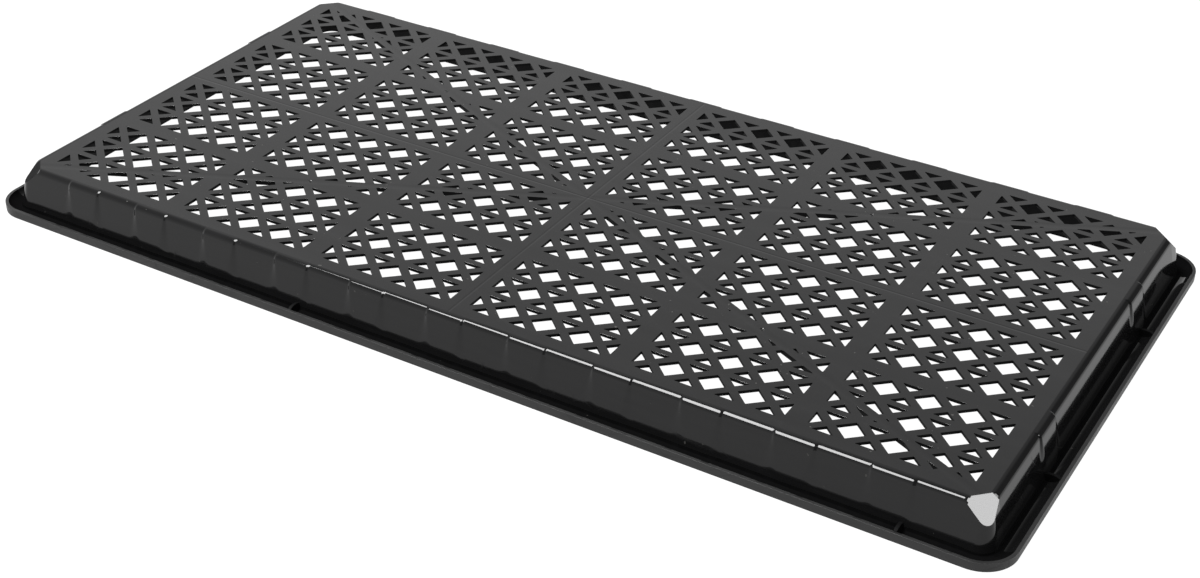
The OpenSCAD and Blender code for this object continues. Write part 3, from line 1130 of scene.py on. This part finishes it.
def rimStations(side):
    return (slidingStations(side, -1, True)[:-1] + straightStations(side)
            + slidingStations(side, 1, False)[1:])


def floorOutline():
    # once round the flat floor, along the edge that the wall pieces leave it
    outline, samePoint = [], 1e-4
    for side in sides:
        for station in straightStations(side) + cornerStations(side)[1:-1]:
            x, y, _ = insetEdge(station, 0)
            if not outline or math.dist(outline[-1], (x, y)) > samePoint:
                outline.append((x, y))
    return outline


# a wall's faces are told apart by how far they point up or outwards, from -1 to 1
wallFaces = {
    "insideUp": -0.05,
    "insideOut": 0.2,
    "facetUp": (0.6, 0.8),
    "facetEven": 0.05,     # a facet points as far along the tray as across it, this nearly
    "hollowUp": 0.3,
    "hollowHeight": 1,     # mm above the flange
}


def makeWallPiece(name, stations, node, sharpAngle, shadedFacet=False):
    points, faces = [], []
    sheetFaces([outerColumn(s) for s in stations], points, faces)
    sheetFaces([innerColumn(s) for s in stations], points, faces, flip=True)
    piece = addPiece(name, points, faces, node, sharpAngle)
    bare = "endPlastic" if node in ("left_wall", "right_wall") else "wallPlastic"
    coatPiece(piece, bare, "dullPlastic", "shadedGutterPlastic")
    f = wallFaces
    facetLow, facetHigh = f["facetUp"]
    for polygon in piece.data.polygons:
        x, y, z = (way / mm for way in polygon.center)
        across, along, up = polygon.normal
        outwards = across * x / floorX + along * y / floorY
        inside = up < f["insideUp"] and outwards < f["insideOut"]
        even = abs(abs(across) - abs(along)) < f["facetEven"]
        # facets picked out this way take the dull plastic as painted shade
        if inside or (shadedFacet and facetLow < up < facetHigh and even):
            polygon.material_index = 1
        elif up > f["hollowUp"] and z < traySizes["flange"] + f["hollowHeight"]:
            # the hollow at the foot takes the gutter's plastic, which is painted shade
            polygon.material_index = 2   # the hollow at the foot belongs to the gutter


def beyondLip(polygon):
    # whether a face of the rim belongs to the crest or the outer face of the lip
    x, y, _ = polygon.center
    middle = rimSizes["lipWidth"] - rimSizes["crestShort"]
    outX, outY = traySizes["length"] / 2 - middle, traySizes["width"] / 2 - middle
    radius = traySizes["cornerRadius"] + traySizes["rimOverhang"] - middle
    overX = max(0.0, abs(x) / mm - (outX - radius))
    overY = max(0.0, abs(y) / mm - (outY - radius))
    return math.hypot(overX, overY) > radius


rimFaces = {"under": -0.5, "upright": 0.1, "flange": 0.998}  # how far they point up


def makeRimPiece(name, stations, node):
    points, faces = [], []
    sheetFaces([rimColumn(s) for s in stations], points, faces)
    piece = addPiece(name, points, faces, node, sharpAngles["rim"])
    # on the end rims the curve up to the lip takes a shinier copy that catches a highlight line;
    # elsewhere it takes the gutter's painted shade
    ridge = "ridgePlastic" if node in ("left_rim", "right_rim") else "shadedGutterPlastic"
    coatPiece(piece, "lipPlastic", "dullPlastic", "shadedGutterPlastic", ridge)
    for polygon in piece.data.polygons:
        # the crest and the outer face of the lip keep the first plastic; the underside
        # takes the second, the flange the third and the curve up to the lip the fourth
        up = polygon.normal.z
        if up < rimFaces["under"] or not beyondLip(polygon):
            isCurve, isFlange = up > rimFaces["upright"], up > rimFaces["flange"]
            polygon.material_index = 2 if isFlange else 3 if isCurve else 1


flowLeaders = {
    "drop": 1.0,         # how far they stand out under the floor
    "edgeRound": 0.4,
    "topLap": 0.15,      # how far they reach up into it
    "facetClear": 0.6,   # their ends stop this far short, measured the same way as facetSum
    # the lower edge's round: how far in and how far up, as shares of edgeRound
    "round": ((0.3, 0.3), (0.62, 0.09), (1, 0)),
    "inset": (0.01, 0.04),   # of the sides, and of the first turn of the round
    "firstTurn": 0.6,        # height of that turn, as a share of edgeRound
}


def crossOutline(inset):
    # outline of the two crossing leaders, drawn in by a given inset
    half = meshFloor["leaderWidth"] / 2 - inset
    reach = facetSum - flowLeaders["facetClear"] - inset * math.sqrt(2)
    lean = math.atan(leaderSlope)
    arms = [-lean, lean, math.pi - lean, math.pi + lean]
    outline = []
    for i, angle in enumerate(arms):
        c, s = math.cos(angle), math.sin(angle)
        for hand in (-1, 1):
            startX, startY = -s * half * hand, c * half * hand
            signX, signY = math.copysign(1, c), math.copysign(1, s)
            run = (reach - signX * startX - signY * startY) / (abs(c) + abs(s))
            outline.append((startX + c * run, startY + s * run))
        # the notch between this arm and the next
        after = arms[(i + 1) % 4]
        middle = (angle + after + (2 * math.pi if i == 3 else 0)) / 2
        far = half / math.sin(middle - angle)
        outline.append((math.cos(middle) * far, math.sin(middle) * far))
    return outline


def makeFlowLeaders():
    soft = flowLeaders["edgeRound"]
    under = traySizes["height"] - traySizes["skin"]
    low = under - flowLeaders["drop"]
    inset, turnInset = flowLeaders["inset"]
    # each ring: how far the outline is drawn in, and its height
    rings = [(inset, under + flowLeaders["topLap"]), (inset, low + soft),
             (turnInset, low + soft * flowLeaders["firstTurn"])]
    rings += [(soft * inwards, low + soft * up) for inwards, up in flowLeaders["round"]]
    points, faces = [], []
    for inset, z in rings:
        points += [(x, y, z) for x, y in crossOutline(inset)]
    count = len(points) // len(rings)
    for r in range(len(rings) - 1):
        for i in range(count):
            j = (i + 1) % count
            faces.append((r * count + i, (r + 1) * count + i, (r + 1) * count + j, r * count + j))
    last = (len(rings) - 1) * count
    faces.append(tuple(reversed(range(last, last + count))))
    piece = addPiece("crossedLeaders", points, faces, "flow_leaders", sharpAngles["leader"])
    coatPiece(piece, "dullPlastic")


makeFlowLeaders()
print("flow leaders made")

cornerNames = ["back_right", "back_left", "front_left", "front_right"]

latticeFloor = makeMeshFloor()
print("mesh floor made:", len(latticeFloor.data.polygons), "faces")

# each side with the corner after it; all facets but the front-right one take the dull plastic,
# painted shade that keeps them from catching bright reflections
for side, cornerName in zip(sides, cornerNames):
    makeWallPiece(side["name"] + "PaddedWall", straightStations(side), side["name"] + "_wall",
                  sharpAngles["wall"])
    makeWallPiece(cornerName.replace("_", "") + "FacetedCorner", cornerStations(side),
                  cornerName + "_corner", sharpAngles["corner"],
                  shadedFacet=cornerName != "front_right")
    makeRimPiece(side["name"] + "LippedRim", rimStations(side), side["name"] + "_rim")
    makeRimPiece(cornerName.replace("_", "") + "RimCorner", turningStations(side),
                 cornerName + "_rim_corner")
print("walls and rim made")


gussetSizes = {
    "rise": 0.8,        # how high its top bows up between the wall and the lip
    "edgeRound": 0.18,
    "roundFrom": 0.5,   # its edges are rounded from this far above the flange
    "sink": 0.2,        # how far it runs into the wall
    "steps": 8,
    # side, which pad it stands on, and its place across that pad from -1 to 1
    "places": [("front", 3, 0.7), ("front", 10, 0.86), ("right", 0, -0.99), ("right", 1, -0.04)],
}


def gussetOutline(side):
    # once round a gusset's face: level distance from the foot of the wall, and height
    sizes, flange, high = gussetSizes, traySizes["flange"], rimSizes["lipHeight"]
    bend, full, foot = gutterCurve()
    lip = traySizes["rimOverhang"] - rimSizes["lipWidth"]
    wallOut = side["flare"] - sizes["sink"]
    topOut = wallOut - (high - flange) * math.tan(side["draft"])
    shares = [i / sizes["steps"] for i in range(sizes["steps"] + 1)]
    top = [(topOut + (lip - topOut) * t, high + sizes["rise"] * 4 * t * (1 - t)) for t in shares]
    angles = [full * (1 - t) for t in shares[1:]]
    under = [(foot + bend * math.sin(a), flange + bend - bend * math.cos(a)) for a in angles]
    return top + under + [(wallOut, flange)]


def addGusset(bm, side, at, turn):
    # one upright web across the gutter, with rounded upper edges
    outline, half = gussetOutline(side), traySizes["skin"] / 2
    reach = wallReach(side["draft"])
    sheets = [[bm.verts.new((reach + w, at + shift, z)) for w, z in outline]
              for shift in (-half, half)]
    caps = [bm.faces.new(sheets[0]), bm.faces.new(list(reversed(sheets[1])))]
    edges = [e for cap in caps for e in cap.edges]
    for i in range(len(outline)):
        j = (i + 1) % len(outline)
        bm.faces.new((sheets[0][j], sheets[0][i], sheets[1][i], sheets[1][j]))
    low = traySizes["flange"] + gussetSizes["roundFrom"]
    topEdges = [e for e in edges if all(v.co.z > low for v in e.verts)]
    made = bmesh.ops.bevel(bm, geom=topEdges, offset=gussetSizes["edgeRound"],
                           segments=2, affect="EDGES", profile=0.5)
    verts = {v for sheet in sheets for v in sheet if v.is_valid} | set(made["verts"])
    for v in verts:
        x, y = turned(turn, side["half"] + v.co.x, v.co.y)
        v.co = (x, y, v.co.z)


def makeGussets():
    bm = bmesh.new()
    named = {side["name"]: side for side in sides}
    for name, pad, share in gussetSizes["places"]:
        side = named[name]
        at = side["pads"][pad] + share * (side["width"] - traySizes["skin"]) / 2
        for halfTurn in (0, 180):
            addGusset(bm, side, at, side["turn"] + halfTurn)
    bmesh.ops.recalc_face_normals(bm, faces=bm.faces)
    bmesh.ops.scale(bm, vec=(mm, mm, mm), verts=bm.verts)
    # the rounding leaves the faces in a chance order; this one is the same each run
    bm.verts.index_update()
    for index, face in enumerate(sorted(bm.faces, key=lambda f: [v.index for v in f.verts])):
        face.index = index
    bm.faces.sort()
    mesh = bpy.data.meshes.new("rimWebs")
    bm.to_mesh(mesh)
    bm.free()
    coatPiece(standPiece("rimWebs", mesh, "rim_gussets", sharpAngles["gusset"]), "dullPlastic")


makeGussets()
print("gussets made")
